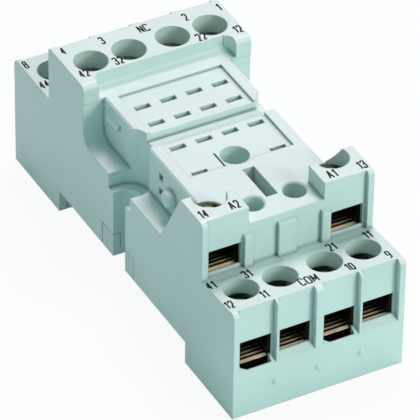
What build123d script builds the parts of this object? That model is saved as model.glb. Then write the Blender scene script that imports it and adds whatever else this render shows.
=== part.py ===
from build123d import *
from math import cos, radians, sin
import os

os.makedirs("parts", exist_ok=True)

# Frame: X across the width, Y along the length with the two-block end at -Y,
# Z up from the underside of the feet. The origin is the middle of the underside.

# Housing, overall
WIDTH = 28.7
LENGTH = 71.4
FOOT_HEIGHT = 3.85
LOWER_TOP = 19.4
LOWER_TOP_FALL = 0.7
UPPER_TOP = 29.1
SIDE_WALL = 1.3
END_WALL = 1.3
EDGE_ROUND = 1.0
BACK_EDGE_ROUND = 0.6

# Housing, steps along the length
FRONT_STEP = 10.0
BACK_STEP = 11.9
BLOCK_LENGTH = 6.8
BLOCK_INNER_LENGTH = 5.5
BLOCK_GAP = 12.6
BACK_TIER_LENGTH = 11.7
BACK_FACE_SETBACK = 2.35
BACK_FACE_WIDTH = 23.5
BACK_FACE_ROUND = 1.5
BACK_WALL_STEP = 0.2
FRONT_FOOT = 14.8
BACK_FOOT = 15.2

# Relay platform
PLATFORM_WIDTH = 21.6
PLATFORM_DROP = 2.95
SEAT_DEPTH = 0.4
SEAT_WIDTH = 17.64
SEAT_FRONT = -11.3
SEAT_BACK = 11.5
PLATFORM_PLATE = 3.15
CHANNEL_BACK = 1.2
CHANNEL_DEPTH = 1.25
CHANNEL_RUN = 3.4
CHANNEL_SAG = 0.35
COVE_RADIUS = 1.6
PLATFORM_CHAMFER = 0.3

# Side recesses and mounting notches
RECESS_FLOOR = 18.5
RAMP_RUN = 6.0
RECESS_COVE = 2.5
SCREW_SPACING = 25.4
SCREW_Y = 0.4
SCREW_SLOT = 3.9
SCREW_SEAT = 15.9
SCREW_SEAT_DIAMETER = 6.9
BOSS_DIAMETER = 2.8
BOSS_HEIGHT = 1.4
BOSS_ROUND = 0.7
BOSS_BEVELS = 3
BOSS_Y = -9.72
BOSS_DEPTH = 4.19
CATCH_LENGTH = 3.9
CATCH_Y = 8.85
CATCH_DEPTH = 1.65
CATCH_DROP = 1.1
CATCH_PROUD = 0.6
CATCH_LAND = 0.1
PEG_HOLE = 1.2
PEG_HOLE_DEPTH = 0.8
PEG_Y = -6.2
PEG_DEPTH = 2.75
PEG_RISE = 2.2

# Pin slots, one row for each row of terminals
PIN_PITCH = 4.4
ROW_BACK_UPPER_Y = 7.8
ROW_BACK_LOWER_Y = 3.3
ROW_FRONT_LOWER_Y = -3.55
ROW_COIL_Y = -10.4
SLOT_LENGTH = 2.6
SLOT_WIDTH = 1.0
COIL_SLOT_WIDTH = 0.7

# Module socket between the front blocks
GUIDE_HOLE = 4.5
GUIDE_HOLE_Y = -9.1
GUIDE_HOLE_DEPTH = 4.5
GUIDE_WALL = 0.8
GUIDE_RIM = 0.5
KEY_SLIT_X = -2.57
KEY_SLIT_LENGTH = 3.6
KEY_SLIT_WIDTH = 0.3
KEY_SLIT_DEPTH = 0.4
MODULE_SLOT_WIDTH = 1.95
MODULE_SLOT_LENGTH = 7.4
MODULE_SLOT_Y = -16.9
MODULE_HOLE_SPACING = 7.1
MODULE_HOLE_Y = -20.95
MODULE_HOLE = 3.6
MODULE_RIM = 0.25
MODULE_DEPTH = 8.0

# Terminals
PITCH_MIDDLE = 7.44
PITCH_SIDE = 6.5
LOWER_WELL_INSET = 5.6
FRONT_WELL_INSET = 5.65
BACK_WELL_INSET = 6.05
WELL_DIAMETER = 5.4
WELL_LEDGE = 3.3
WELL_RELIEF = 0.2
ENTRY_WIDTH = 5.4
ENTRY_HEIGHT = 3.85
ENTRY_DROP = 6.3
ENTRY_WALL = 0.35
LOWER_FACE_RECESS = 1.0
UPPER_FACE_RECESS = 0.65
FIN_THICKNESS = 0.42
MIDDLE_FIN = 1.28
BACK_FIN = 1.0
STRIP_WIDTH = 1.0
SILL_DROP = 1.0
NOTCH_DEPTH = 0.8
NOTCH_SLANT = 0.9
NOTCH_STEP = 0.4
RIB_DROP = 2.0
RIB_WIDTH = 1.4
TAB_DROP = 1.65
TAB_WIDTH = 3.0
RIB_SLOPE = 0.4

# Clamp cage, sized downwards from the clamp level of its tier
UPPER_LIFT = 0.4
CAGE_DROP = 5.1
CAGE_WIDTH = 5.5
CAGE_INNER = 3.1
CAGE_TOP_WALL = 1.2
CAGE_SIDE_WALL = 0.45
CAGE_FLOOR = 0.7
CAGE_INSIDE = 4.8
POCKET_GAP = 0.08

# Clamp screw and pressure plate
SCREW_DIAMETER = 3.5
SCREW_FIT = 0.05
SCREW_DROP = 3.6
DRIVE_SLOT_WIDTH = 0.7
DRIVE_SLOT_DEPTH = 1.0
PLATE_THICKNESS = 0.5
PLATE_LENGTH = 4.2
PLATE_SIDE_GAP = 0.2
PLATE_REST_GAP = 1.6

# Contacts
STRIP_THICKNESS = 0.8
TONGUE_WIDTH = 4.4
NECK_WIDTH = 2.6
TOOTH_PITCH = 0.8
TOOTH_DEPTH = 0.3
TEETH = 6
RUN_WIDTH = 2.4
CROSSBAR = 1.6
LEAF = 0.4
FORK_DEPTH = 2.2
FORK_LENGTH = 3.2
FORK_PINCH = 0.4
FORK_MOUTH = 1.3
FORK_PINCH_DROP = 1.1
FORK_CLEARANCE = 0.3

# Inside of the housing
TIER_FLOOR = 1.9
RIB_THICKNESS = 0.8
STRIP_GAP = 0.5
WALL_AT_PLATFORM = 1.5
INNER_CROSSBAR_GAP = 0.3

# Base cover
COVER_PLATE = 1.5
COVER_GAP = 0.1
POST_WIDTH = 3.0
TAB_FRONT = -4.5
TAB_BACK = 6.1
TAB_TOP_LEVEL = 8.0
TAB_SLIT = 0.3

# Rail fittings, for a 35 mm rail with 1 mm lips
RAIL_WIDTH = 35.0
RAIL_LIP = 1.2
RAIL_SLACK = 0.2
HOOK_REACH = 2.1
HOOK_WIDTH = 12.0
HOOK_CLEARANCE = 0.3
LATCH_WIDTH = 10.0
LATCH_GAP = 0.3
FLANGE_WIDTH = 0.9
FLANGE_THICKNESS = 0.8
FLANGE_STOP = 0.8
LATCH_TRAVEL = 2.4
LATCH_SLOT_WIDTH = 1.4
LATCH_SLOT_LENGTH = 4.0
LATCH_SLOT_INSET = 1.2
SPRING_WIDTH = 2.0
SPRING_HEIGHT = 2.0
SPRING_STRIP = 0.3
SPRING_LENGTH = 7.0
SPRING_FOLDS = 6
SPRING_POCKET_WIDTH = 2.6
SPRING_POCKET_FLOOR = 0.6
SPRING_INSET = 1.9
PEG_THICKNESS = 1.0

# Moulded bumps on the ends
BUMP_SPACING = 7.2
BUMP_HEIGHT = 4.6
BUMP_RADIUS = 0.65
BUMP_TOP_RADIUS = 0.3
BUMP_PROUD = 0.25
BUMP_SIDES = 12

# Lengths and places that follow from the sizes above
FRONT_END = -LENGTH / 2
BACK_END = LENGTH / 2
HALF_WIDTH = WIDTH / 2
HALF_PLATFORM = PLATFORM_WIDTH / 2
FRONT_STEP_Y = FRONT_END + FRONT_STEP
BACK_STEP_Y = BACK_END - BACK_STEP
BLOCK_BACK_Y = FRONT_STEP_Y + BLOCK_LENGTH
V_BOTTOM_Y = BLOCK_BACK_Y + RAMP_RUN
BACK_WALL_Y = BACK_STEP_Y - BACK_TIER_LENGTH
BACK_FACE_Y = BACK_WALL_Y + BACK_FACE_SETBACK
FRONT_FOOT_Y = FRONT_END + FRONT_FOOT
BACK_FOOT_Y = BACK_END - BACK_FOOT
PLATFORM_TOP = UPPER_TOP - PLATFORM_DROP
RIB_TOP = PLATFORM_TOP - RIB_DROP
TAB_TOP = PLATFORM_TOP - TAB_DROP
CATCH_TOP = PLATFORM_TOP - CATCH_DEPTH
SLOT_PLANE = PLATFORM_TOP - SEAT_DEPTH
CAVITY_TOP = PLATFORM_TOP - PLATFORM_PLATE
INSIDE = HALF_WIDTH - SIDE_WALL
COVER_TOP = FOOT_HEIGHT + COVER_PLATE
CAGE_HEIGHT = CAGE_TOP_WALL + CAGE_INSIDE + CAGE_FLOOR
TONGUE_DROP = CAGE_DROP + CAGE_TOP_WALL + CAGE_INSIDE - STRIP_THICKNESS
OUTER_X = PITCH_MIDDLE / 2 + PITCH_SIDE
INNER_X = PITCH_MIDDLE / 2
OUTER_PIN_X = 1.5 * PIN_PITCH
INNER_PIN_X = 0.5 * PIN_PITCH
FIN_X = (OUTER_X + INNER_X) / 2
FIN_INNER = FIN_X - FIN_THICKNESS / 2
FIN_OUTER = FIN_X + FIN_THICKNESS / 2
STRIP_EDGE = HALF_WIDTH - STRIP_WIDTH
FRONT_TIER_TOP = LOWER_TOP - LOWER_TOP_FALL
POCKET_HALF = CAGE_WIDTH / 2 + POCKET_GAP
CAGE_OUTER = LOWER_WELL_INSET - LOWER_FACE_RECESS - ENTRY_WALL - POCKET_GAP
UPPER_LEVEL = UPPER_TOP + UPPER_LIFT
UPPER_CAGE_BOTTOM = UPPER_LEVEL - CAGE_DROP - CAGE_HEIGHT
LOWER_CAGE_BOTTOM = LOWER_TOP - CAGE_DROP - CAGE_HEIGHT
CHANNEL_CEILING = UPPER_CAGE_BOTTOM - TIER_FLOOR
FRONT_WELL_Y = FRONT_STEP_Y + FRONT_WELL_INSET
BACK_WELL_Y = BACK_STEP_Y - BACK_WELL_INSET
LOWER_WELL_Y = BACK_END - LOWER_WELL_INSET
MIDDLE_HALF = -(FRONT_WELL_Y + CAGE_INNER + POCKET_GAP)
BACK_MIDDLE_Y = BACK_WELL_Y - CAGE_INNER - POCKET_GAP
FORK_TOP = CAVITY_TOP - FORK_CLEARANCE
HOOK_TOP = FOOT_HEIGHT - RAIL_LIP
RAIL_EDGE = RAIL_WIDTH / 2 + RAIL_SLACK / 2
SPRING_FRONT_Y = BACK_FOOT_Y + SPRING_INSET
EPS = 1.0


def slab(x0, x1, y0, y1, z0, z1):
    """Box between two corners."""
    middle = Pos((x0 + x1) / 2, (y0 + y1) / 2, (z0 + z1) / 2)
    return middle * Box(abs(x1 - x0), abs(y1 - y0), abs(z1 - z0))


def rod(diameter, x, y, z0, z1):
    """Upright cylinder between two heights."""
    return Pos(x, y, (z0 + z1) / 2) * Cylinder(diameter / 2, abs(z1 - z0))


def outline(points, rounds=()):
    """Flat face through the points; rounds lists (corner index, radius)."""
    face = make_face(Polyline(*points, close=True))
    for index, radius in rounds:
        target = Vector(*points[index])
        corner = min(face.vertices(), key=lambda v: (Vector(v.X, v.Y) - target).length)
        face = fillet(corner, radius)
    return face


def prism_x(points, x0, x1, rounds=()):
    """Prism with a (Y, Z) outline between two X values."""
    face = Plane.YZ.offset(min(x0, x1)) * outline(points, rounds)
    return extrude(face, amount=abs(x1 - x0), dir=(1, 0, 0))


def both_sides(shape):
    """The shape with its mirror image across the middle plane."""
    return shape + mirror(shape, about=Plane.YZ)


def terminals():
    """Every terminal: name, place, clamp level, wire side (-1 front, 1 back) and its pin slot."""
    columns = ((-OUTER_X, -OUTER_PIN_X), (-INNER_X, -INNER_PIN_X), (INNER_X, INNER_PIN_X), (OUTER_X, OUTER_PIN_X))
    places = []
    for number, (x, pin_x) in enumerate(columns, 1):
        places.append((f"front_lower_{number}", x, -LOWER_WELL_Y, LOWER_TOP, -1, pin_x, ROW_FRONT_LOWER_Y))
        places.append((f"back_upper_{number}", x, BACK_WELL_Y, UPPER_LEVEL, 1, pin_x, ROW_BACK_UPPER_Y))
        places.append((f"back_lower_{number}", x, LOWER_WELL_Y, LOWER_TOP, 1, pin_x, ROW_BACK_LOWER_Y))
    for number, (x, pin_x) in enumerate((columns[0], columns[3]), 1):
        places.append((f"front_upper_{number}", x, FRONT_WELL_Y, UPPER_LEVEL, -1, pin_x, ROW_COIL_Y))
    return places


def core_profile():
    """Silhouette of the middle of the housing, feet included."""
    return [
        (FRONT_END, 0),
        (FRONT_END, LOWER_TOP),
        (FRONT_STEP_Y, FRONT_TIER_TOP),
        (FRONT_STEP_Y, PLATFORM_TOP),
        (BACK_FACE_Y, PLATFORM_TOP),
        (BACK_FACE_Y, UPPER_TOP),
        (BACK_STEP_Y, UPPER_TOP),
        (BACK_STEP_Y, LOWER_TOP),
        (BACK_END, LOWER_TOP),
        (BACK_END, 0),
        (BACK_FOOT_Y, 0),
        (BACK_FOOT_Y, FOOT_HEIGHT),
        (FRONT_FOOT_Y, FOOT_HEIGHT),
        (FRONT_FOOT_Y, 0),
    ]


def side_profile():
    """Silhouette of the two sides, with the recess between the front block and the back tier."""
    return [
        (FRONT_END, 0),
        (FRONT_END, LOWER_TOP),
        (FRONT_STEP_Y, FRONT_TIER_TOP),
        (FRONT_STEP_Y, UPPER_TOP),
        (BLOCK_BACK_Y, UPPER_TOP),
        (V_BOTTOM_Y, RECESS_FLOOR),
        (BACK_WALL_Y + BACK_WALL_STEP, RECESS_FLOOR),
        (BACK_WALL_Y + BACK_WALL_STEP, SLOT_PLANE),
        (BACK_WALL_Y, SLOT_PLANE),
        (BACK_WALL_Y, UPPER_TOP),
        (BACK_STEP_Y, UPPER_TOP),
        (BACK_STEP_Y, LOWER_TOP),
        (BACK_END, LOWER_TOP),
        (BACK_END, 0),
        (BACK_FOOT_Y, 0),
        (BACK_FOOT_Y, FOOT_HEIGHT),
        (FRONT_FOOT_Y, FOOT_HEIGHT),
        (FRONT_FOOT_Y, 0),
    ]


def blocks():
    """Parts of the two front blocks that stand on the platform."""
    back = FRONT_STEP_Y + BLOCK_INNER_LENGTH
    return both_sides(slab(BLOCK_GAP / 2, HALF_PLATFORM, FRONT_STEP_Y, back, PLATFORM_TOP - EPS, UPPER_TOP))


def back_cove():
    """Hollow fillet where the back tier meets the platform."""
    wedge = slab(
        -BACK_FACE_WIDTH / 2, BACK_FACE_WIDTH / 2,
        BACK_FACE_Y - COVE_RADIUS, BACK_FACE_Y,
        PLATFORM_TOP - EPS, PLATFORM_TOP + COVE_RADIUS,
    )
    hollow = Pos(0, BACK_FACE_Y - COVE_RADIUS, PLATFORM_TOP + COVE_RADIUS)
    return wedge - hollow * Rot(0, 90, 0) * Cylinder(COVE_RADIUS, BACK_FACE_WIDTH)


def back_recess():
    """Space in front of the middle face of the back tier, with rounded corners."""
    half = BACK_FACE_WIDTH / 2
    points = [
        (-half, BACK_WALL_Y - EPS),
        (-half, BACK_FACE_Y),
        (half, BACK_FACE_Y),
        (half, BACK_WALL_Y - EPS),
    ]
    face = Pos(0, 0, PLATFORM_TOP) * outline(points, [(1, BACK_FACE_ROUND), (2, BACK_FACE_ROUND)])
    return extrude(face, amount=UPPER_TOP - PLATFORM_TOP + EPS, dir=(0, 0, 1))


def platform_edges():
    """Chamfers along the top side edges of the platform, from the ramps to the back tier."""
    fall = (UPPER_TOP - PLATFORM_TOP) / (UPPER_TOP - RECESS_FLOOR)
    ramp_y = BLOCK_BACK_Y + RAMP_RUN * fall
    over = PLATFORM_CHAMFER / 2
    points = [
        (HALF_PLATFORM - PLATFORM_CHAMFER - over, PLATFORM_TOP + over),
        (HALF_PLATFORM + over, PLATFORM_TOP + over),
        (HALF_PLATFORM + over, PLATFORM_TOP - PLATFORM_CHAMFER - over),
    ]
    face = Plane.XZ.offset(-ramp_y) * outline(points)
    return both_sides(extrude(face, amount=BACK_WALL_Y - ramp_y, dir=(0, 1, 0)))


def outer_form():
    """The housing as a solid, before the terminals are cut into it."""
    front = (1, EDGE_ROUND)
    core_rounds = [front, (6, BACK_EDGE_ROUND), (8, EDGE_ROUND)]
    form = prism_x(core_profile(), -HALF_PLATFORM, HALF_PLATFORM, core_rounds)
    side_rounds = [front, (3, EDGE_ROUND), (6, RECESS_COVE), (9, EDGE_ROUND), (10, BACK_EDGE_ROUND), (12, EDGE_ROUND)]
    side = prism_x(side_profile(), HALF_PLATFORM, HALF_WIDTH, side_rounds)
    return form + both_sides(side) + blocks() - back_recess() + back_cove() - platform_edges()


def face_columns(side):
    """Sunk strips in the end faces, one for each column of wire entries (side -1 front, 1 back)."""
    face = FRONT_END
    sill = LOWER_TOP - ENTRY_DROP - ENTRY_HEIGHT - SILL_DROP
    step = FRONT_STEP_Y if side < 0 else -BACK_STEP_Y
    lower = [
        (face - EPS, sill - EPS),
        (face + LOWER_FACE_RECESS, sill + LOWER_FACE_RECESS),
        (face + LOWER_FACE_RECESS, UPPER_TOP + EPS),
        (face - EPS, UPPER_TOP + EPS),
    ]
    tier = FRONT_TIER_TOP if side < 0 else LOWER_TOP
    upper = [
        (step - EPS, tier),
        (step + UPPER_FACE_RECESS, tier),
        (step + UPPER_FACE_RECESS, UPPER_TOP + EPS),
        (step - EPS, UPPER_TOP + EPS),
    ]
    cuts = prism_x(lower, MIDDLE_FIN / 2, FIN_INNER) + prism_x(lower, FIN_OUTER, STRIP_EDGE)
    if side < 0:
        cuts += prism_x(upper, FIN_OUTER, STRIP_EDGE)
    else:
        cuts += prism_x(upper, MIDDLE_FIN / 2, FIN_X - BACK_FIN / 2) + prism_x(upper, FIN_X + BACK_FIN / 2, STRIP_EDGE)
    cuts = both_sides(cuts)
    return cuts if side < 0 else mirror(cuts, about=Plane.XZ)


def above_rib(top):
    """Outline of the space over a rib with a sloped top."""
    inner = FRONT_STEP_Y + UPPER_FACE_RECESS
    return [
        (FRONT_STEP_Y - EPS, top),
        (FRONT_STEP_Y, top),
        (inner, top + RIB_SLOPE),
        (inner, UPPER_TOP + EPS),
        (FRONT_STEP_Y - EPS, UPPER_TOP + EPS),
    ]


def middle_face():
    """Sunk face between the front blocks, which leaves two ribs and a middle tab standing."""
    half = TAB_WIDTH / 2
    inner = FRONT_STEP_Y + UPPER_FACE_RECESS
    hollow = slab(half, FIN_OUTER - RIB_WIDTH, FRONT_STEP_Y - EPS, inner, FRONT_TIER_TOP, UPPER_TOP + EPS)
    over_ribs = prism_x(above_rib(RIB_TOP), half, FIN_OUTER)
    return both_sides(hollow + over_ribs) + prism_x(above_rib(TAB_TOP), -half, half)


def terminal_cuts(x, y, level, side):
    """Screw well, wire entry and cage pocket of one terminal."""
    upper = level == UPPER_LEVEL
    top = UPPER_TOP if upper else LOWER_TOP
    cage_top = level - CAGE_DROP
    pocket_bottom = cage_top - CAGE_HEIGHT if upper else -EPS
    step = {-1: FRONT_STEP_Y, 1: BACK_STEP_Y}[side] if upper else side * BACK_END
    recess = UPPER_FACE_RECESS if upper else LOWER_FACE_RECESS
    inner = y - side * (CAGE_INNER + POCKET_GAP)
    outer = step - side * (recess + ENTRY_WALL)
    room = WELL_DIAMETER / 2 + WELL_RELIEF
    well = rod(WELL_DIAMETER, x, y, cage_top, top + EPS)
    well += slab(x - room, x + room, y - room, y + room, cage_top, top - WELL_LEDGE)
    pocket = slab(x - POCKET_HALF, x + POCKET_HALF, inner, outer, pocket_bottom, cage_top + POCKET_GAP)
    entry_top = level - ENTRY_DROP
    entry = slab(
        x - ENTRY_WIDTH / 2, x + ENTRY_WIDTH / 2,
        y, step + side * EPS,
        entry_top - ENTRY_HEIGHT, entry_top,
    )
    return well + pocket + entry


def entry_notch(x, side):
    """Tapered notch under a lower wire entry, its floor falling inwards at 45 degrees."""
    start = EPS + SILL_DROP - NOTCH_DEPTH
    bottom = LOWER_TOP - ENTRY_DROP - ENTRY_HEIGHT + start
    half = ENTRY_WIDTH / 2
    points = [
        (x - half, bottom + 2 * EPS),
        (x - half, bottom),
        (x - half + NOTCH_SLANT, bottom - NOTCH_DEPTH),
        (x + half - NOTCH_STEP, bottom - NOTCH_DEPTH),
        (x + half - NOTCH_STEP, bottom + 2 * EPS),
    ]
    run = EPS + LOWER_FACE_RECESS + ENTRY_WALL + POCKET_GAP
    inwards = Vector(0, -side, -1).normalized()
    face = Plane.XZ.offset(-side * (BACK_END + EPS)) * outline(points)
    return extrude(face, amount=run / cos(radians(45)), dir=inwards)


def run_channels():
    """Open-bottomed channels for the contact strips under both end tiers."""
    cuts = None
    for x in (-OUTER_X, -INNER_X, INNER_X, OUTER_X):
        for side in (-1, 1):
            inner = -MIDDLE_HALF if side < 0 else BACK_MIDDLE_Y
            cut = slab(
                x - POCKET_HALF, x + POCKET_HALF,
                side * LOWER_WELL_Y, inner - side * EPS,
                -EPS, CHANNEL_CEILING,
            )
            cuts = cut if cuts is None else cuts + cut
    return cuts


def middle_cavity():
    """Room under the platform for strips and forks, with ribs left between the columns."""
    clear = SCREW_SEAT_DIAMETER / 2 + SIDE_WALL
    narrow = SCREW_SPACING / 2 - clear
    wide = HALF_PLATFORM - WALL_AT_PLATFORM
    low = slab(-INSIDE, INSIDE, -MIDDLE_HALF, BACK_MIDDLE_Y, -EPS, CHANNEL_CEILING)
    high = slab(-wide, wide, -MIDDLE_HALF - EPS, BACK_MIDDLE_Y + EPS, CHANNEL_CEILING - EPS, CAVITY_TOP)
    level = UPPER_LEVEL - TONGUE_DROP + STRIP_GAP
    passage = OUTER_X + NECK_WIDTH / 2 + STRIP_GAP
    front_end = crossbar_y(-1) + STRIP_GAP
    back_end = crossbar_y(1) - STRIP_GAP
    front = slab(-passage, passage, -MIDDLE_HALF - EPS, front_end, UPPER_CAGE_BOTTOM, level)
    back = slab(-passage, passage, back_end, BACK_MIDDLE_Y + EPS, UPPER_CAGE_BOTTOM, level)
    notch_wall = both_sides(
        slab(
            narrow, HALF_WIDTH,
            SCREW_Y - clear, SCREW_Y + clear,
            -EPS, CAVITY_TOP + EPS,
        )
    )
    room = low + high + front + back - notch_wall
    for x in (-PIN_PITCH, 0, PIN_PITCH):
        room -= slab(
            x - RIB_THICKNESS / 2, x + RIB_THICKNESS / 2,
            front_end, back_end,
            -EPS, CAVITY_TOP + EPS,
        )
    return room


def crossbar_y(side):
    """Inner edge of the crossbars of the upper strips."""
    return -MIDDLE_HALF + CROSSBAR if side < 0 else BACK_MIDDLE_Y - CROSSBAR


def pin_slots():
    """Slots through the platform for the relay's blades."""
    cuts = None
    for name, x, y, level, side, pin_x, pin_y in terminals():
        width = COIL_SLOT_WIDTH if pin_y == ROW_COIL_Y else SLOT_WIDTH
        slot = Pos(pin_x, pin_y, PLATFORM_TOP - PLATFORM_PLATE / 2)
        cut = slot * Box(SLOT_LENGTH, width, PLATFORM_PLATE + 2 * EPS)
        cuts = cut if cuts is None else cuts + cut
    return cuts


def guide_tube():
    """Closed tube under the platform that deepens the guide hole."""
    bottom = SLOT_PLANE - GUIDE_HOLE_DEPTH - GUIDE_WALL
    return rod(GUIDE_HOLE + 2 * GUIDE_WALL, 0, GUIDE_HOLE_Y, bottom, SLOT_PLANE)


def platform_relief():
    """Shallow seat, the channel across the platform, and the guide hole with its key slit."""
    half = SEAT_WIDTH / 2
    seat = slab(-half, half, SEAT_FRONT, SEAT_BACK, SLOT_PLANE, PLATFORM_TOP + EPS)
    front = CHANNEL_BACK - CHANNEL_RUN
    floor = SLOT_PLANE - CHANNEL_DEPTH
    curve = ThreePointArc(
        (CHANNEL_BACK, floor),
        (CHANNEL_BACK - CHANNEL_RUN / 2, floor + CHANNEL_SAG),
        (front, SLOT_PLANE),
    )
    rest = Polyline(
        (front, SLOT_PLANE),
        (front, SLOT_PLANE + EPS),
        (CHANNEL_BACK, SLOT_PLANE + EPS),
        (CHANNEL_BACK, floor),
    )
    face = Plane.YZ.offset(-HALF_PLATFORM) * make_face([*curve.edges(), *rest.edges()])
    channel = extrude(face, amount=PLATFORM_WIDTH, dir=(1, 0, 0))
    guide = rod(GUIDE_HOLE, 0, GUIDE_HOLE_Y, SLOT_PLANE - GUIDE_HOLE_DEPTH, PLATFORM_TOP)
    guide += rod(GUIDE_HOLE + 2 * GUIDE_RIM, 0, GUIDE_HOLE_Y, SLOT_PLANE, PLATFORM_TOP + EPS)
    slit = Pos(KEY_SLIT_X, GUIDE_HOLE_Y, SLOT_PLANE) * Box(KEY_SLIT_WIDTH, KEY_SLIT_LENGTH, 2 * KEY_SLIT_DEPTH)
    return seat + channel + guide + slit


def module_sockets():
    """Slot and two rimmed holes for a plug-in module, between the front blocks."""
    slot = Pos(0, MODULE_SLOT_Y, PLATFORM_TOP) * Box(MODULE_SLOT_WIDTH, MODULE_SLOT_LENGTH, 2 * MODULE_DEPTH)
    cuts = slot
    for x in (-MODULE_HOLE_SPACING / 2, MODULE_HOLE_SPACING / 2):
        cuts += rod(MODULE_HOLE, x, MODULE_HOLE_Y, PLATFORM_TOP - MODULE_DEPTH, PLATFORM_TOP + EPS)
        rim = Pos(x, MODULE_HOLE_Y, PLATFORM_TOP - MODULE_RIM / 2)
        cuts += rim * Cone(MODULE_HOLE / 2, MODULE_HOLE / 2 + MODULE_RIM, MODULE_RIM)
    return cuts


def screw_slot(z0, z1):
    """Mounting slot, open to the side, between two heights."""
    x = SCREW_SPACING / 2
    open_side = slab(x, HALF_WIDTH + EPS, SCREW_Y - SCREW_SLOT / 2, SCREW_Y + SCREW_SLOT / 2, z0, z1)
    return both_sides(rod(SCREW_SLOT, x, SCREW_Y, z0, z1) + open_side)


def mounting_notches():
    """Slots for the two panel screws, with the round seats of their heads."""
    x = SCREW_SPACING / 2
    radius = SCREW_SEAT_DIAMETER / 2
    seat = rod(SCREW_SEAT_DIAMETER, x, SCREW_Y, SCREW_SEAT, UPPER_TOP)
    open_side = slab(x, HALF_WIDTH + EPS, SCREW_Y - radius, SCREW_Y + radius, SCREW_SEAT, RECESS_FLOOR + EPS)
    return screw_slot(-EPS, SCREW_SEAT + EPS) + both_sides(seat + open_side)


def peg_holes():
    """Square holes for the pegs of the retaining clip, in the platform's sides."""
    hole = Box(2 * PEG_HOLE_DEPTH, PEG_HOLE, PEG_HOLE)
    high = Pos(HALF_PLATFORM, PEG_Y, PLATFORM_TOP - PEG_DEPTH) * hole
    low = Pos(HALF_PLATFORM, PEG_Y, RECESS_FLOOR + PEG_RISE) * hole
    return both_sides(high + low)


def clip_bosses():
    """Round bosses that the retaining clip swings on, with domed ends."""
    radius = BOSS_DIAMETER / 2
    points = [(0, 0), (radius, 0)]
    for step in range(BOSS_BEVELS + 1):
        angle = radians(90 * step / BOSS_BEVELS)
        inset = BOSS_ROUND * (1 - cos(angle))
        drop = BOSS_ROUND * (1 - sin(angle))
        points.append((radius - inset, BOSS_HEIGHT - drop))
    points.append((0, BOSS_HEIGHT))
    boss = revolve(Plane.XZ * outline(points), axis=Axis.Z)
    return both_sides(Pos(HALF_PLATFORM, BOSS_Y, PLATFORM_TOP - BOSS_DEPTH) * Rot(0, 90, 0) * boss)


def clip_catches():
    """Wedges that the ends of the retaining clip snap under."""
    low = CATCH_TOP - CATCH_DROP
    points = [
        (HALF_PLATFORM - CATCH_LAND, CATCH_TOP),
        (HALF_PLATFORM, CATCH_TOP),
        (HALF_PLATFORM + CATCH_PROUD, low),
        (HALF_PLATFORM + CATCH_PROUD, low - CATCH_LAND),
        (HALF_PLATFORM - CATCH_LAND, low - CATCH_LAND),
    ]
    face = Plane.XZ.offset(-CATCH_Y + CATCH_LENGTH / 2) * outline(points)
    return both_sides(extrude(face, amount=CATCH_LENGTH, dir=(0, 1, 0)))


def bumps():
    """Three small moulded bumps low on each end."""
    base = RegularPolygon(BUMP_RADIUS, BUMP_SIDES)
    top = Pos(0, 0, BUMP_PROUD) * RegularPolygon(BUMP_TOP_RADIUS, BUMP_SIDES)
    bump = Rot(90, 0, 0) * loft([base.face(), top.face()], ruled=True)
    proud = None
    for x in (-BUMP_SPACING, 0, BUMP_SPACING):
        one = Pos(x, FRONT_END, BUMP_HEIGHT) * bump
        proud = one if proud is None else proud + one
    return proud + mirror(proud, about=Plane.XZ)


def cover_profile(gap):
    """Hat-shaped (Y, Z) outline of everything under the top of the base cover."""
    front = FRONT_END + END_WALL + gap
    back = BACK_END - END_WALL - gap
    return [
        (front, -EPS),
        (front, COVER_PLATE),
        (FRONT_FOOT_Y - COVER_PLATE, COVER_PLATE),
        (FRONT_FOOT_Y - COVER_PLATE, COVER_TOP),
        (back, COVER_TOP),
        (back, -EPS),
    ]


def cover_room():
    """Space that the base cover takes inside the housing's walls, side tabs included."""
    tabs = both_sides(
        slab(
            INSIDE, HALF_WIDTH + EPS,
            TAB_FRONT, TAB_BACK,
            -EPS, TAB_TOP_LEVEL,
        )
    )
    latch = slab(
        -LATCH_WIDTH / 2 - LATCH_GAP, LATCH_WIDTH / 2 + LATCH_GAP,
        BACK_END - END_WALL - EPS, BACK_END + EPS,
        -EPS, FOOT_HEIGHT,
    )
    return prism_x(cover_profile(0), -INSIDE, INSIDE) + tabs + latch


def housing():
    """Upper moulding with the terminal tiers, the platform, the recesses and the feet."""
    body = outer_form()
    body -= face_columns(-1) + face_columns(1) + middle_face()
    for name, x, y, level, side, pin_x, pin_y in terminals():
        body -= terminal_cuts(x, y, level, side)
    for side in (-1, 1):
        body -= entry_notch(-OUTER_X, side) + entry_notch(INNER_X, side)
    body -= run_channels()
    body -= middle_cavity()
    body += guide_tube()
    body -= pin_slots()
    body -= platform_relief()
    body -= module_sockets()
    body -= mounting_notches()
    body -= peg_holes()
    body -= cover_room()
    return body + clip_bosses() + clip_catches() + bumps()


def rail_hook():
    """Fixed hook for the front edge of the rail."""
    tip = -RAIL_EDGE + HOOK_REACH
    points = [
        (FRONT_FOOT_Y - EPS, HOOK_CLEARANCE),
        (FRONT_FOOT_Y - EPS, FOOT_HEIGHT + EPS),
        (-RAIL_EDGE, FOOT_HEIGHT + EPS),
        (-RAIL_EDGE, HOOK_TOP),
        (tip, HOOK_TOP),
        (tip - HOOK_REACH / 2, HOOK_CLEARANCE),
    ]
    return prism_x(points, -HOOK_WIDTH / 2, HOOK_WIDTH / 2)


def latch_way():
    """Way for the rail latch through the back foot, with grooves for its flanges."""
    half = LATCH_WIDTH / 2 + LATCH_GAP
    groove = half + FLANGE_WIDTH
    middle = HOOK_TOP / 2 + HOOK_CLEARANCE / 2
    reach = FLANGE_THICKNESS / 2 + LATCH_GAP
    stop = BACK_FOOT_Y + FLANGE_STOP
    way = slab(-half, half, 0, BACK_END + EPS, -EPS, FOOT_HEIGHT)
    return way + slab(-groove, groove, stop, BACK_END + EPS, middle - reach, middle + reach)


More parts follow.
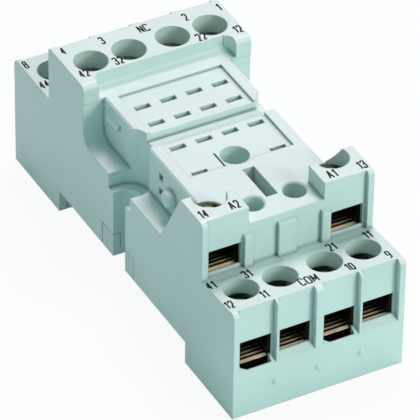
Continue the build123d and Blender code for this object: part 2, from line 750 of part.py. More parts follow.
def base_cover():
    """Lower moulding with cage posts, the fixed rail hook, the latch way and the side tabs."""
    gap = COVER_GAP
    half = INSIDE - gap
    solid = prism_x(cover_profile(gap), -half, half)
    solid -= slab(-half, half, FRONT_END, BACK_END, -2 * EPS, 0)
    solid -= slab(-half, half, FRONT_FOOT_Y, BACK_FOOT_Y, -EPS, FOOT_HEIGHT)
    solid -= latch_way()
    tab = slab(0, HALF_WIDTH, TAB_FRONT + gap, TAB_BACK - TAB_SLIT, FOOT_HEIGHT, COVER_TOP)
    rise = slab(
        INSIDE + gap, HALF_WIDTH,
        TAB_FRONT + gap, TAB_BACK - TAB_SLIT,
        FOOT_HEIGHT, TAB_TOP_LEVEL - gap,
    )
    solid += both_sides(tab + rise)
    solid -= screw_slot(-EPS, LOWER_TOP)
    for name, x, y, level, side, pin_x, pin_y in terminals():
        if level == LOWER_TOP:
            floor = COVER_PLATE if side < 0 else COVER_TOP
            post = Pos(x, y, (floor - gap + LOWER_CAGE_BOTTOM) / 2)
            solid += post * Box(POST_WIDTH, POST_WIDTH, LOWER_CAGE_BOTTOM - floor + gap)
    solid += rail_hook()
    peg_front = SPRING_FRONT_Y + SPRING_LENGTH + COVER_GAP
    peg = slab(
        -SPRING_WIDTH / 2, SPRING_WIDTH / 2,
        peg_front, peg_front + PEG_THICKNESS,
        SPRING_POCKET_FLOOR + HOOK_CLEARANCE + LATCH_GAP, FOOT_HEIGHT + EPS,
    )
    return solid + peg


def rail_latch():
    """Sliding catch for the back edge of the rail."""
    half = LATCH_WIDTH / 2
    tip = RAIL_EDGE - HOOK_REACH
    points = [
        (tip, HOOK_TOP),
        (tip + HOOK_REACH / 2, HOOK_CLEARANCE),
        (BACK_END, HOOK_CLEARANCE),
        (BACK_END, HOOK_TOP),
    ]
    solid = prism_x(points, -half, half)
    heel = RAIL_EDGE
    solid += slab(-half, half, heel, BACK_FOOT_Y, HOOK_TOP - EPS, FOOT_HEIGHT - LATCH_GAP)
    middle = HOOK_TOP / 2 + HOOK_CLEARANCE / 2
    flange = half + FLANGE_WIDTH
    solid += slab(
        -flange, flange,
        BACK_FOOT_Y + FLANGE_STOP, BACK_END - END_WALL - LATCH_TRAVEL - LATCH_GAP,
        middle - FLANGE_THICKNESS / 2, middle + FLANGE_THICKNESS / 2,
    )
    peg_back = SPRING_FRONT_Y + SPRING_LENGTH + COVER_GAP + PEG_THICKNESS
    solid -= slab(
        -SPRING_POCKET_WIDTH / 2, SPRING_POCKET_WIDTH / 2,
        SPRING_FRONT_Y - COVER_GAP, peg_back + LATCH_GAP,
        HOOK_CLEARANCE + SPRING_POCKET_FLOOR, FOOT_HEIGHT,
    )
    slot_y = BACK_END - LATCH_SLOT_INSET - LATCH_SLOT_WIDTH / 2
    solid -= Pos(0, slot_y, HOOK_TOP / 2) * Box(LATCH_SLOT_LENGTH, LATCH_SLOT_WIDTH, FOOT_HEIGHT)
    return solid


def latch_spring():
    """Folded strip spring between the latch and the peg on the base cover, along Y."""
    pitch = (SPRING_LENGTH - SPRING_STRIP) / SPRING_FOLDS
    floor = HOOK_CLEARANCE + SPRING_POCKET_FLOOR + COVER_GAP
    folds = [0, *range(SPRING_FOLDS + 1), SPRING_FOLDS]
    edge = SPRING_WIDTH / 2
    spring = None
    for low, high in zip(folds, folds[1:]):
        y0 = SPRING_FRONT_Y + low * pitch
        y1 = SPRING_FRONT_Y + high * pitch
        points = [(-edge, y0), (edge, y1), (edge, y1 + SPRING_STRIP), (-edge, y0 + SPRING_STRIP)]
        leg = extrude(Pos(0, 0, floor) * outline(points), amount=SPRING_HEIGHT, dir=(0, 0, 1))
        spring = leg if spring is None else spring + leg
        edge = -edge
    return spring


def cage(x, y, level, side):
    """Closed frame round the tongue, with the thread hole in its top."""
    z1 = level - CAGE_DROP
    z0 = z1 - CAGE_HEIGHT
    half = CAGE_WIDTH / 2
    bore = half - CAGE_SIDE_WALL
    inner = y - side * CAGE_INNER
    outer = y + side * CAGE_OUTER
    body = slab(x - half, x + half, inner, outer, z0, z1)
    body -= slab(
        x - bore, x + bore,
        inner - side * EPS, outer + side * EPS,
        z0 + CAGE_FLOOR, z1 - CAGE_TOP_WALL,
    )
    return body - rod(SCREW_DIAMETER + 2 * SCREW_FIT, x, y, z1 - CAGE_TOP_WALL - EPS, z1 + EPS)


def plate_bottom(level):
    """Underside of a pressure plate at rest."""
    return level - TONGUE_DROP + PLATE_REST_GAP


def pressure_plate(x, y, level):
    """Plate under the clamp screw."""
    width = CAGE_WIDTH - 2 * CAGE_SIDE_WALL - 2 * PLATE_SIDE_GAP
    middle = plate_bottom(level) + PLATE_THICKNESS / 2
    return Pos(x, y, middle) * Box(width, PLATE_LENGTH, PLATE_THICKNESS)


def clamp_screw(x, y, level):
    """Slotted clamp screw that stands on its pressure plate."""
    head = level - SCREW_DROP
    shank = rod(SCREW_DIAMETER, x, y, plate_bottom(level) + PLATE_THICKNESS, head)
    return shank - Pos(x, y, head) * Box(SCREW_DIAMETER + EPS, DRIVE_SLOT_WIDTH, 2 * DRIVE_SLOT_DEPTH)


def fork(x, y, base):
    """Two spring leaves that grip a relay blade, from the strip up to the pin slot."""
    z_bend = FORK_TOP - FORK_LENGTH
    z_pinch = FORK_TOP - FORK_PINCH_DROP
    half = FORK_DEPTH / 2
    leaf = [
        (half - LEAF, base - STRIP_THICKNESS / 2),
        (half - LEAF, z_bend),
        (FORK_PINCH / 2, z_pinch),
        (FORK_MOUTH / 2, FORK_TOP),
        (FORK_MOUTH / 2 + LEAF, FORK_TOP),
        (FORK_PINCH / 2 + LEAF, z_pinch),
        (half, z_bend),
        (half, base - STRIP_THICKNESS / 2),
    ]
    far = prism_x([(y + dy, z) for dy, z in leaf], x - RUN_WIDTH / 2, x + RUN_WIDTH / 2)
    near = prism_x([(y - dy, z) for dy, z in leaf], x - RUN_WIDTH / 2, x + RUN_WIDTH / 2)
    return far + near


def tongue(x, y, z1, side):
    """Wire tongue through the cage, with its serrated outer length."""
    outer = y + side * CAGE_OUTER
    inner = y - side * CAGE_INNER
    points = [(outer, z1 - STRIP_THICKNESS)]
    for tooth in range(TEETH):
        start = outer - side * tooth * TOOTH_PITCH
        points.append((start, z1 - TOOTH_DEPTH))
        points.append((start - side * TOOTH_PITCH / 2, z1))
    end = outer - side * TEETH * TOOTH_PITCH
    points += [(end, z1 - TOOTH_DEPTH), (end, z1), (inner, z1), (inner, z1 - STRIP_THICKNESS)]
    return prism_x(points, x - TONGUE_WIDTH / 2, x + TONGUE_WIDTH / 2)


def contact(x, y, level, side, pin_x, pin_y):
    """One stamping: tongue, crossbar, run under the platform and fork under its pin slot."""
    z1 = level - TONGUE_DROP
    z0 = z1 - STRIP_THICKNESS
    middle = -MIDDLE_HALF if side < 0 else BACK_MIDDLE_Y
    bar_outer = middle - side * INNER_CROSSBAR_GAP
    bar_inner = middle - side * CROSSBAR
    run_end = pin_y - side * FORK_DEPTH / 2
    low = min(x - NECK_WIDTH / 2, pin_x - RUN_WIDTH / 2)
    high = max(x + NECK_WIDTH / 2, pin_x + RUN_WIDTH / 2)
    body = tongue(x, y, z1, side)
    body += slab(x - NECK_WIDTH / 2, x + NECK_WIDTH / 2, min(y, bar_inner), max(y, bar_inner), z0, z1)
    body += slab(low, high, min(bar_outer, bar_inner), max(bar_outer, bar_inner), z0, z1)
    body += slab(
        pin_x - RUN_WIDTH / 2, pin_x + RUN_WIDTH / 2,
        min(bar_outer, run_end), max(bar_outer, run_end),
        z0, z1,
    )
    return body + fork(pin_x, pin_y, z1)


def save(shape, name):
    """Write one node."""
    export_step(shape, f"parts/{name}.step")


save(housing(), "housing")
save(base_cover(), "base_cover")
save(rail_latch(), "rail_latch")
save(latch_spring(), "latch_spring")
for name, x, y, level, side, pin_x, pin_y in terminals():
    save(cage(x, y, level, side), f"cage_{name}")
    save(pressure_plate(x, y, level), f"plate_{name}")
    save(clamp_screw(x, y, level), f"screw_{name}")
    save(contact(x, y, level, side, pin_x, pin_y), f"contact_{name}")
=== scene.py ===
import math

import bpy
from mathutils import Matrix, Vector


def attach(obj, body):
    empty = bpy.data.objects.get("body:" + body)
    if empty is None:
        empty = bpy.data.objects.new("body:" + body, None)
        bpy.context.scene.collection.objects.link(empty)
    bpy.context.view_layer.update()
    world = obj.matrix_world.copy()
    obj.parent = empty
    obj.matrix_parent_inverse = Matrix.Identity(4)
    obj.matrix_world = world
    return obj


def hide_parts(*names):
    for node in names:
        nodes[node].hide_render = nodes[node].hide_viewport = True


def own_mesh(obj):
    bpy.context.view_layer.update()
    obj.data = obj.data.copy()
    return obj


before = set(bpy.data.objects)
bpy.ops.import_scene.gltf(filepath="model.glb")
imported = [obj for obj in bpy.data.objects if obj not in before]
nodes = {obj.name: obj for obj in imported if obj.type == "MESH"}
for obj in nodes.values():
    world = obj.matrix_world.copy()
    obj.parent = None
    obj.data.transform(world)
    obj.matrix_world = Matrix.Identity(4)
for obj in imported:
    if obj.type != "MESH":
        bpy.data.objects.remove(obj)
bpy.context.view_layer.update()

MM = 0.001

# Camera, as the photograph was taken: degrees and metres, with lens and sensor in mm
CAMERA_AZIMUTH = -28.816
CAMERA_ELEVATION = 37.717
CAMERA_ROLL = 0.936
CAMERA_PLACE = (-0.270785, -0.494038, 0.444912)
CAMERA_CLIP = (0.01, 20)
LENS = 402.02
SENSOR = 36.0

# Lights: name, place and size in metres, power in watts, colour
LIGHTS = (
    ("key", (0.62, -0.92, 0.50), 0.45, 7.25, (1, 0.955, 0.915)),
    ("top", (0.28, 0.32, 0.96), 0.4, 8.5, (1, 0.715, 0.785)),
)
LIGHT_AIM = (0, 0, 0.01)
AMBIENT_COLOUR = (0.737, 1, 1, 1)
AMBIENT_STRENGTH = 0.35
WHITE = (1, 1, 1, 1)

# Paper floor: size in metres, drop below the object in mm
FLOOR_SIZE = 6
FLOOR_DROP = 0.02
PAPER_DARK = (0.60, 0.82, 0.81, 1)
PAPER_LIGHT = (0.64, 0.86, 0.85, 1)
PAPER_ROUGHNESS = 0.9
PAPER_WHITE_SHARE = 0.93
FIBRE_SCALE = 800

# Colours, linear, and roughness of the finishes; the cage's and the plate's colours are darkened with
# painted shade
HOUSING_COLOUR = (0.575, 0.76, 0.725, 1)
HOUSING_ROUGHNESS = 0.42
COVER_COLOUR = (0.55, 0.73, 0.695, 1)
COVER_ROUGHNESS = 0.46
LATCH_COLOUR = (0.34, 0.42, 0.405, 1)
LATCH_ROUGHNESS = 0.45
SPRING_COLOUR = (0.50, 0.50, 0.49, 1)
SPRING_ROUGHNESS = 0.28
# Painted shade: the cage is near black for the shade inside the wire entries
CAGE_SHADE_COLOUR = (0.020, 0.019, 0.013, 1)
CAGE_ROUGHNESS = 0.30
# Painted shade: the plate is dark for the shade inside the wire entries
PLATE_SHADE_COLOUR = (0.09, 0.073, 0.045, 1)
PLATE_ROUGHNESS = 0.34
SCREW_COLOUR = (0.55, 0.45, 0.27, 1)
SCREW_ROUGHNESS = 0.30
CONTACT_COLOUR = (0.90, 0.76, 0.50, 1)
CONTACT_ROUGHNESS = 0.20
INK_COLOUR = (0.005, 0.005, 0.007, 1)
INK_ROUGHNESS = (0.6, 0.8)
INK_SPECULAR = 0.2

# Radius of the softened edges, in mm
HOUSING_EDGE = 0.22
INNER_PLASTIC_EDGE = 0.18
METAL_EDGE = 0.05
EDGE_SAMPLES = 6

# Plastic: flow clouds, uneven gloss and fine grain, its depth in mm
CLOUD_SCALE = 90
CLOUD_STRETCH = (1, 0.45, 1)
CLOUD_TINTS = (0.97, 1.02)
CLOUD_RANGE = (0.35, 0.65)
GLOSS_SCALE = 900
GLOSS_CHANGE = (-0.05, 0.06)
GRAIN_SCALE = 5200
GRAIN_STRENGTH = 0.10
GRAIN_DEPTH = 0.03

# Metal: stains, drawn marks and the screws' thread, depths in mm
STAIN_SCALE = 420
STAIN_TINT = 0.6
STAIN_RANGE = (0.25, 0.6)
MARK_SCALE = 1500
MARK_CHANGE = (-0.06, 0.10)
MARK_STRENGTH = 0.2
MARK_DEPTH = 0.02
NO_STRETCH = (1, 1, 1)
ROLLED_STRETCH = (1, 0.15, 1)
DRAWN_STRETCH = (1, 0.1, 1)
TURNED_STRETCH = (1, 1, 4)
THREAD_TURNS = 7.67
THREAD_STRENGTH = 1.0
THREAD_DEPTH = 0.35

# Ink: uneven film
FILM_SCALE = 3000
FILM_TINT = 2.5
FILM_RANGE = (0.4, 0.7)

# Painted shade in the plastic's corners and in the metal's grooves: reach in mm, and the openness at which
# it is full and at which it ends
CORNER_SHADE_REACH = 0.8
CORNER_SHADE_RANGE = (0.3, 0.92)
CORNER_SHADE_TINT = 0.45
GROOVE_SHADE_REACH = 0.5
GROOVE_SHADE_RANGE = (0.90, 1.0)
GROOVE_SHADE_COLOUR = (0.010, 0.009, 0.006, 1)
CORNER_SAMPLES = 8

# Ends of the contact tongues and their other faces turned along Y: share of the normal along Y at which
# their painted shade begins and at which it is full
Y_FACE_SHADE_RANGE = (0.4, 0.8)

# Labels printed on the four tiers: sizes in mm, then each tier's texts with X and Y of their middles in mm
LABEL_HEIGHT = 1.72
LABEL_UNIT = 0.96
LABEL_STROKE = 0.28
LABEL_SPACING = 0.38
LABEL_LIFT = 0.012
UPPER_TOP = 29.1
LOWER_TOP = 19.4
FRONT_EDGE_Y = -35.7
FRONT_FALL = 0.07
BACK_UPPER_LABELS = (
    ("4", -12.85, 21.9), ("3", -6.35, 21.65), ("NC", 0.75, 21.6), ("2", 7.8, 21.3), ("1", 13.6, 21.25),
    ("42", -12.6, 15.35), ("32", -6.5, 15.95), ("22", 7.55, 15.65), ("12", 13.45, 14.85),
)
FRONT_UPPER_LABELS = (("14", -13.0, -23.4), ("A2", -7.95, -23.45), ("A1", 8.3, -23.5), ("13", 13.3, -23.6))
BACK_LOWER_LABELS = (
    ("8", -13.6, 33.35), ("44", -13.3, 27.4), ("7", -6.95, 33.4), ("34", -6.95, 27.4),
    ("6", 0.0, 33.4), ("24", 6.95, 27.4), ("5", 6.95, 33.4), ("14", 13.3, 27.4),
)
FRONT_LOWER_LABELS = (
    ("41", -13.6, -27.15), ("31", -7.65, -27.2), ("21", 6.45, -27.3), ("11", 12.6, -27.2),
    ("12", -13.6, -32.75), ("11", -7.95, -32.95), ("COM", -0.6, -32.95), ("10", 6.3, -33.05),
    ("9", 12.75, -33.15),
)

# Width and strokes of each sign, in label units across and label heights up
OVAL = ((0.25, 1), (0, 1), (0, 0.5), (0, 0), (0.25, 0), (0.5, 0), (0.5, 0.5), (0.5, 1), (0.25, 1))
LETTER_O_WIDENING = 1.48
SIX = (
    (0.42, 0.98), (0.25, 1.02), (0, 0.9), (0, 0.5), (0, 0), (0.25, 0),
    (0.5, 0), (0.5, 0.3), (0.5, 0.58), (0.25, 0.58), (0.02, 0.58), (0, 0.3),
)
UPPER_LOOP = (
    (0.25, 0.53), (0.03, 0.53), (0.03, 0.77), (0.03, 1), (0.25, 1),
    (0.47, 1), (0.47, 0.77), (0.47, 0.53), (0.25, 0.53),
)
LOWER_LOOP = (
    (0.25, 0.53), (0, 0.53), (0, 0.27), (0, 0), (0.25, 0),
    (0.5, 0), (0.5, 0.27), (0.5, 0.53), (0.25, 0.53),
)
SIGNS = {
    "0": (0.5, (OVAL,)),
    "1": (0.3, (((0, 0.74), (0.3, 1)), ((0.3, 1.04), (0.3, 0)))),
    "2": (0.5, (
        ((0, 0.74), (0.02, 1), (0.25, 1), (0.5, 1), (0.5, 0.72), (0.5, 0.48), (0.02, 0)),
        ((-0.04, 0), (0.52, 0)),
    )),
    "3": (0.5, (
        ((0, 0.8), (0.02, 1), (0.25, 1), (0.48, 1), (0.48, 0.78), (0.48, 0.54), (0.16, 0.54)),
        ((0.16, 0.54), (0.5, 0.54), (0.5, 0.28), (0.5, 0), (0.25, 0), (0, 0), (0, 0.22)),
    )),
    "4": (0.52, (((0.38, 1.02), (0, 0.3)), ((-0.04, 0.29), (0.54, 0.29)), ((0.38, 1.02), (0.38, 0)))),
    "5": (0.5, (
        ((0.48, 1), (0.04, 1)),
        ((0.07, 1), (0.02, 0.5)),
        (
            (0.02, 0.52), (0.15, 0.64), (0.3, 0.64), (0.5, 0.62), (0.5, 0.32),
            (0.5, 0), (0.24, 0), (0.02, 0), (0, 0.2),
        ),
    )),
    "6": (0.5, (SIX,)),
    "7": (0.5, (((0, 1), (0.53, 1)), ((0.5, 1), (0.15, 0)))),
    "8": (0.5, (UPPER_LOOP, LOWER_LOOP)),
    "9": (0.5, (tuple((0.5 - x, 1 - y) for x, y in SIX),)),
    "A": (0.62, (((0, 0), (0.31, 1.03)), ((0.31, 1.03), (0.62, 0)), ((0.09, 0.32), (0.53, 0.32)))),
    "C": (0.66, (
        ((0.66, 0.78), (0.62, 1), (0.35, 1), (0, 1), (0, 0.5), (0, 0), (0.35, 0), (0.62, 0), (0.66, 0.22)),
    )),
    "M": (0.8, (
        ((0, 0), (0, 1.04)),
        ((0, 1.02), (0.4, 0.2)),
        ((0.4, 0.2), (0.8, 1.02)),
        ((0.8, 1.04), (0.8, 0)),
    )),
    "N": (0.6, (((0, 0), (0, 1.04)), ((0, 1.02), (0.6, -0.02)), ((0.6, -0.04), (0.6, 1)))),
    "O": (0.74, (tuple((x * LETTER_O_WIDENING, y) for x, y in OVAL),)),
}


def link_new(name, data):
    """New object in the scene."""
    new = bpy.data.objects.new(name, data)
    bpy.context.scene.collection.objects.link(new)
    return new


def shader_tree(name):
    """New node material with its Principled shader."""
    material = bpy.data.materials.new(name)
    material.use_nodes = True
    tree = material.node_tree
    return material, tree, tree.nodes["Principled BSDF"]


def linear_ramp(tree, source, low, high, start=0.0, end=1.0):
    """Colour ramp between two colours, driven by a value."""
    ramp = tree.nodes.new("ShaderNodeValToRGB")
    ramp.color_ramp.elements[0].color = low
    ramp.color_ramp.elements[0].position = start
    ramp.color_ramp.elements[1].color = high
    ramp.color_ramp.elements[1].position = end
    tree.links.new(source, ramp.inputs["Fac"])
    return ramp.outputs["Color"]


def tint(colour, factor):
    """Colour made lighter or darker."""
    return [min(1.0, c * factor) for c in colour[:3]] + [1]


def maths(tree, operation, first, second=None):
    """Maths node on two sockets or numbers."""
    node = tree.nodes.new("ShaderNodeMath")
    node.operation = operation
    for socket, value in zip(node.inputs, (first, second)):
        if isinstance(value, (int, float)):
            socket.default_value = value
        elif value is not None:
            tree.links.new(value, socket)
    return node.outputs[0]


def coordinates(tree, kind):
    """X, Y and Z outputs of one kind of texture coordinate."""
    place = tree.nodes.new("ShaderNodeTexCoord")
    split = tree.nodes.new("ShaderNodeSeparateXYZ")
    tree.links.new(place.outputs[kind], split.inputs["Vector"])
    return split.outputs


def object_noise(tree, scale, detail, stretch=NO_STRETCH):
    """Noise in object coordinates, stretched along the axes."""
    place = tree.nodes.new("ShaderNodeTexCoord")
    mapping = tree.nodes.new("ShaderNodeMapping")
    mapping.inputs["Scale"].default_value = stretch
    noise = tree.nodes.new("ShaderNodeTexNoise")
    noise.inputs["Scale"].default_value = scale
    noise.inputs["Detail"].default_value = detail
    tree.links.new(place.outputs["Object"], mapping.inputs["Vector"])
    tree.links.new(mapping.outputs["Vector"], noise.inputs["Vector"])
    return noise.outputs["Fac"]


def spread(tree, source, low, high, start=0.0, end=1.0):
    """Value stretched from one range to another."""
    node = tree.nodes.new("ShaderNodeMapRange")
    node.inputs["From Min"].default_value = start
    node.inputs["From Max"].default_value = end
    node.inputs["To Min"].default_value = low
    node.inputs["To Max"].default_value = high
    tree.links.new(source, node.inputs["Value"])
    return node.outputs["Result"]


def set_roughness(tree, shader, noise, roughness, change):
    """Roughness that wavers with a noise, by a lowest and a highest change."""
    lowest, highest = change
    uneven = spread(tree, noise, roughness + lowest, roughness + highest)
    tree.links.new(uneven, shader.inputs["Roughness"])


def bump(tree, shader, height, strength, depth, rounding):
    """Bump from a height, over normals softened at the edges; depth and rounding in mm."""
    node = tree.nodes.new("ShaderNodeBump")
    node.inputs["Strength"].default_value = strength
    node.inputs["Distance"].default_value = depth * MM
    tree.links.new(height, node.inputs["Height"])
    bevel = tree.nodes.new("ShaderNodeBevel")
    bevel.samples = EDGE_SAMPLES
    bevel.inputs["Radius"].default_value = rounding * MM
    tree.links.new(bevel.outputs["Normal"], node.inputs["Normal"])
    tree.links.new(node.outputs["Normal"], shader.inputs["Normal"])


def openness(tree, reach, limits):
    """1 on open surfaces, falling to 0 in grooves and corners within the reach in mm."""
    hollow = tree.nodes.new("ShaderNodeAmbientOcclusion")
    hollow.samples = CORNER_SAMPLES
    hollow.only_local = True
    hollow.inputs["Distance"].default_value = reach * MM
    return spread(tree, hollow.outputs["AO"], 0, 1, *limits)


def shade_darkened(tree, share, dark, colour):
    """Colour darkened by painted shade as its share falls to 0."""
    mix = tree.nodes.new("ShaderNodeMix")
    mix.data_type = "RGBA"
    mix.inputs["A"].default_value = dark
    tree.links.new(share, mix.inputs["Factor"])
    tree.links.new(colour, mix.inputs["B"])
    return mix.outputs["Result"]


def moulded_plastic(name, colour, roughness, rounding):
    """Fine-textured moulded plastic with faint flow clouds, painted shade in its corners and softened
    edges.
    """
    material, tree, shader = shader_tree(name)
    clouds = object_noise(tree, CLOUD_SCALE, detail=3, stretch=CLOUD_STRETCH)
    dark, light = (tint(colour, factor) for factor in CLOUD_TINTS)
    base = linear_ramp(tree, clouds, dark, light, *CLOUD_RANGE)
    # Painted shade: the plastic darkens in its corners and joints within the reach
    corner_shaded = shade_darkened(tree, openness(tree, CORNER_SHADE_REACH, CORNER_SHADE_RANGE), tint(colour, CORNER_SHADE_TINT), base)
    tree.links.new(corner_shaded, shader.inputs["Base Color"])
    set_roughness(tree, shader, object_noise(tree, GLOSS_SCALE, detail=2), roughness, GLOSS_CHANGE)
    grain = object_noise(tree, GRAIN_SCALE, detail=2)
    bump(tree, shader, grain, GRAIN_STRENGTH, GRAIN_DEPTH, rounding)
    return material


def thread_height(tree, turns):
    """Screw thread as a height, wound round the middle of the piece's own box."""
    along = coordinates(tree, "Generated")
    x = maths(tree, "SUBTRACT", along["X"], 0.5)
    y = maths(tree, "SUBTRACT", along["Y"], 0.5)
    angle = maths(tree, "MULTIPLY", maths(tree, "ARCTAN2", y, x), 1 / math.tau)
    climb = maths(tree, "MULTIPLY", along["Z"], turns)
    return maths(tree, "PINGPONG", maths(tree, "ADD", climb, angle), 0.5)


def groove_shaded(tree, colour, shade_y_faces):
    """Colour darkened to near black by painted shade in narrow grooves and corners, and where asked on
    faces turned along Y.
    """
    share = openness(tree, GROOVE_SHADE_REACH, GROOVE_SHADE_RANGE)
    # Painted shade on faces turned along Y, fuller the more the normal points along Y
    if shade_y_faces:
        turned = maths(tree, "ABSOLUTE", coordinates(tree, "Normal")["Y"])
        share = maths(tree, "MULTIPLY", share, spread(tree, turned, 1, 0, *Y_FACE_SHADE_RANGE))
    return shade_darkened(tree, share, GROOVE_SHADE_COLOUR, colour)


def plated_metal(name, colour, roughness, stretch, turns=0, shade_y_faces=False):
    """Metal with drawn marks and slightly stained plating; turns above 0 gives it a thread."""
    material, tree, shader = shader_tree(name)
    stains = object_noise(tree, STAIN_SCALE, detail=4)
    plating = linear_ramp(tree, stains, tint(colour, STAIN_TINT), colour, *STAIN_RANGE)
    # Painted shade darkens the plating in its grooves and corners
    tree.links.new(groove_shaded(tree, plating, shade_y_faces), shader.inputs["Base Color"])
    marks = object_noise(tree, MARK_SCALE, detail=3, stretch=stretch)
    set_roughness(tree, shader, marks, roughness, MARK_CHANGE)
    if turns:
        bump(tree, shader, thread_height(tree, turns), THREAD_STRENGTH, THREAD_DEPTH, METAL_EDGE)
    else:
        bump(tree, shader, marks, MARK_STRENGTH, MARK_DEPTH, METAL_EDGE)
    shader.inputs["Metallic"].default_value = 1.0
    return material


def printing_ink(name, colour):
    """Dull printed ink with a slightly uneven film."""
    material, tree, shader = shader_tree(name)
    film = object_noise(tree, FILM_SCALE, detail=3)
    ink = linear_ramp(tree, film, colour, tint(colour, FILM_TINT), *FILM_RANGE)
    tree.links.new(ink, shader.inputs["Base Color"])
    tree.links.new(spread(tree, film, *INK_ROUGHNESS), shader.inputs["Roughness"])
    shader.inputs["Specular IOR Level"].default_value = INK_SPECULAR
    return material


def dress(name, material):
    """Give a CAD node its material."""
    if not nodes[name].material_slots:
        nodes[name].data.materials.append(material)
    for slot in nodes[name].material_slots:
        slot.material = material


def add_stroke(data, points, shift):
    """Stroke of a sign: straight between two points, else a smooth line led by them."""
    smooth = len(points) > 2
    spline = data.splines.new("NURBS" if smooth else "POLY")
    spline.points.add(len(points) - 1)
    for point, (x, y) in zip(spline.points, points):
        point.co = ((shift + x) * LABEL_UNIT * MM, (y - 0.5) * LABEL_HEIGHT * MM, 0, 1)
    if smooth:
        spline.order_u = 3
        spline.use_endpoint_u = True
        spline.resolution_u = 4


def make_label(name, text, x, y, z, tilt, material):
    """Label printed on a tier, its middle at X, Y and Z in mm."""
    data = bpy.data.curves.new(name, "CURVE")
    data.dimensions = "3D"
    data.bevel_depth = LABEL_STROKE / 2 * MM
    data.bevel_resolution = 1
    data.use_fill_caps = True
    widths = [SIGNS[sign][0] for sign in text]
    shift = -(sum(widths) + LABEL_SPACING * (len(text) - 1)) / 2
    for sign, width in zip(text, widths):
        for points in SIGNS[sign][1]:
            add_stroke(data, points, shift)
        shift += width + LABEL_SPACING
    data.materials.append(material)
    label = link_new(name, data)
    label.scale = (1, 1, LABEL_LIFT / (LABEL_STROKE / 2))
    label.rotation_euler = (-math.atan(tilt), 0, 0)
    label.location = (x * MM, y * MM, z * MM)
    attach(label, "housing")


def make_labels(material):
    """Labels on all four tiers; the front lower tier falls inwards from its edge."""
    tiers = (
        ("back_upper", BACK_UPPER_LABELS, UPPER_TOP, 0),
        ("front_upper", FRONT_UPPER_LABELS, UPPER_TOP, 0),
        ("back_lower", BACK_LOWER_LABELS, LOWER_TOP, 0),
        ("front_lower", FRONT_LOWER_LABELS, LOWER_TOP, FRONT_FALL),
    )
    for tier, labels, top, fall in tiers:
        for number, (text, x, y) in enumerate(labels, 1):
            z = top - fall * (y - FRONT_EDGE_Y)
            make_label(f"number_{tier}_{number}", text, x, y, z, fall, material)


def make_spring(material):
    """Strip spring, which in the real socket shortens towards its peg as the rail latch slides out; here a
    copy of the CAD piece with its own mesh, attached to the housing in its place.
    """
    data = nodes["latch_spring"].data.copy()
    data.materials.clear()
    data.materials.append(material)
    spring = link_new("latch_spring_strip", data)
    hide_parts("latch_spring")
    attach(spring, "housing")
    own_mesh(spring)


def make_camera():
    """Camera at the photograph's place, with its roll."""
    data = bpy.data.cameras.new("photo_camera")
    data.lens = LENS
    data.sensor_width = SENSOR
    data.clip_start, data.clip_end = CAMERA_CLIP
    camera = link_new("photo_camera", data)
    azimuth = math.radians(CAMERA_AZIMUTH)
    elevation = math.radians(CAMERA_ELEVATION)
    level = math.cos(elevation)
    back = Vector((math.sin(azimuth) * level, -math.cos(azimuth) * level, math.sin(elevation)))
    right = Vector((0, 0, 1)).cross(back).normalized()
    up = back.cross(right)
    roll = math.radians(CAMERA_ROLL)
    x = right * math.cos(roll) + up * math.sin(roll)
    y = -right * math.sin(roll) + up * math.cos(roll)
    turn = Matrix((x, y, back)).transposed().to_4x4()
    camera.matrix_world = Matrix.Translation(CAMERA_PLACE) @ turn
    bpy.context.scene.camera = camera


def make_light(name, place, size, power, colour):
    """Square soft light aimed at the object."""
    data = bpy.data.lights.new(name, "AREA")
    data.shape = "SQUARE"
    data.size = size
    data.energy = power
    data.color = colour
    light = link_new(name, data)
    light.location = place
    direction = Vector(LIGHT_AIM) - Vector(place)
    light.rotation_mode = "QUATERNION"
    light.rotation_quaternion = direction.to_track_quat("-Z", "Y")


def seen_directly(tree):
    """1 where the camera, a mirror or glass sees the surface, else 0."""
    path = tree.nodes.new("ShaderNodeLightPath")
    seen = maths(tree, "MAXIMUM", path.outputs["Is Camera Ray"], path.outputs["Is Glossy Ray"])
    return maths(tree, "MAXIMUM", seen, path.outputs["Is Transmission Ray"])


def glow(tree, kind, colour, strength):
    """Background or emission shader of one colour."""
    node = tree.nodes.new(kind)
    node.inputs["Color"].default_value = colour
    node.inputs["Strength"].default_value = strength
    return node.outputs[0]


def blended(tree, share, first, second):
    """Two shaders mixed; the share is the second one's."""
    mix = tree.nodes.new("ShaderNodeMixShader")
    tree.links.new(share, mix.inputs["Fac"])
    tree.links.new(first, mix.inputs[1])
    tree.links.new(second, mix.inputs[2])
    return mix.outputs[0]


def make_world():
    """Plain ambient light, white where it is seen."""
    world = bpy.data.worlds.new("studio")
    bpy.context.scene.world = world
    world.use_nodes = True
    tree = world.node_tree
    tree.nodes.clear()
    soft = glow(tree, "ShaderNodeBackground", AMBIENT_COLOUR, AMBIENT_STRENGTH)
    white = glow(tree, "ShaderNodeBackground", WHITE, 1)
    out = tree.nodes.new("ShaderNodeOutputWorld")
    tree.links.new(blended(tree, seen_directly(tree), soft, white), out.inputs["Surface"])


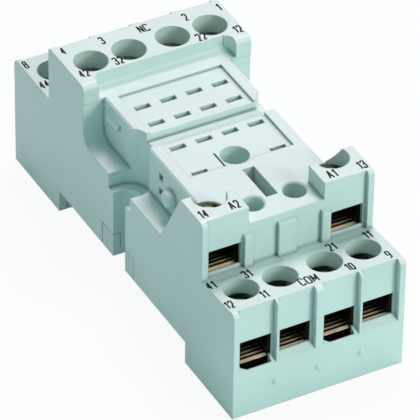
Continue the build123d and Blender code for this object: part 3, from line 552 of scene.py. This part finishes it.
def make_floor():
    """Pale paper floor that keeps the object's shadow and is close to white where it is seen."""
    bpy.ops.mesh.primitive_plane_add(size=FLOOR_SIZE, location=(0, 0, -FLOOR_DROP * MM))
    floor = bpy.context.object
    floor.name = "floor"
    material, tree, shader = shader_tree("floor_paper")
    fibres = object_noise(tree, FIBRE_SCALE, detail=3)
    tree.links.new(linear_ramp(tree, fibres, PAPER_DARK, PAPER_LIGHT), shader.inputs["Base Color"])
    shader.inputs["Roughness"].default_value = PAPER_ROUGHNESS
    white = glow(tree, "ShaderNodeEmission", WHITE, 1)
    share = maths(tree, "MULTIPLY", seen_directly(tree), PAPER_WHITE_SHARE)
    surface = blended(tree, share, shader.outputs[0], white)
    tree.links.new(surface, tree.nodes["Material Output"].inputs["Surface"])
    floor.data.materials.append(material)


MATERIALS = {
    "housing": moulded_plastic("housing_plastic", HOUSING_COLOUR, HOUSING_ROUGHNESS, HOUSING_EDGE),
    "base_cover": moulded_plastic("cover_plastic", COVER_COLOUR, COVER_ROUGHNESS, INNER_PLASTIC_EDGE),
    "rail_latch": moulded_plastic("latch_plastic", LATCH_COLOUR, LATCH_ROUGHNESS, INNER_PLASTIC_EDGE),
    "latch_spring": plated_metal("spring_strip", SPRING_COLOUR, SPRING_ROUGHNESS, NO_STRETCH),
    "cage": plated_metal("cage_plating_shaded", CAGE_SHADE_COLOUR, CAGE_ROUGHNESS, ROLLED_STRETCH),
    "plate": plated_metal("plate_plating_shaded", PLATE_SHADE_COLOUR, PLATE_ROUGHNESS, ROLLED_STRETCH),
    "screw": plated_metal("screw_plating", SCREW_COLOUR, SCREW_ROUGHNESS, TURNED_STRETCH, THREAD_TURNS),
    # The contact brass carries painted shade on its faces turned along Y
    "contact": plated_metal(
        "contact_brass", CONTACT_COLOUR, CONTACT_ROUGHNESS, DRAWN_STRETCH, shade_y_faces=True
    ),
}

bpy.context.scene.view_settings.view_transform = "Standard"
make_camera()
make_world()
make_floor()
for light in LIGHTS:
    make_light(*light)

for name in nodes:
    key = name if name in MATERIALS else name.split("_")[0]
    dress(name, MATERIALS[key])
make_labels(printing_ink("printing_ink", INK_COLOUR))
make_spring(MATERIALS["latch_spring"])
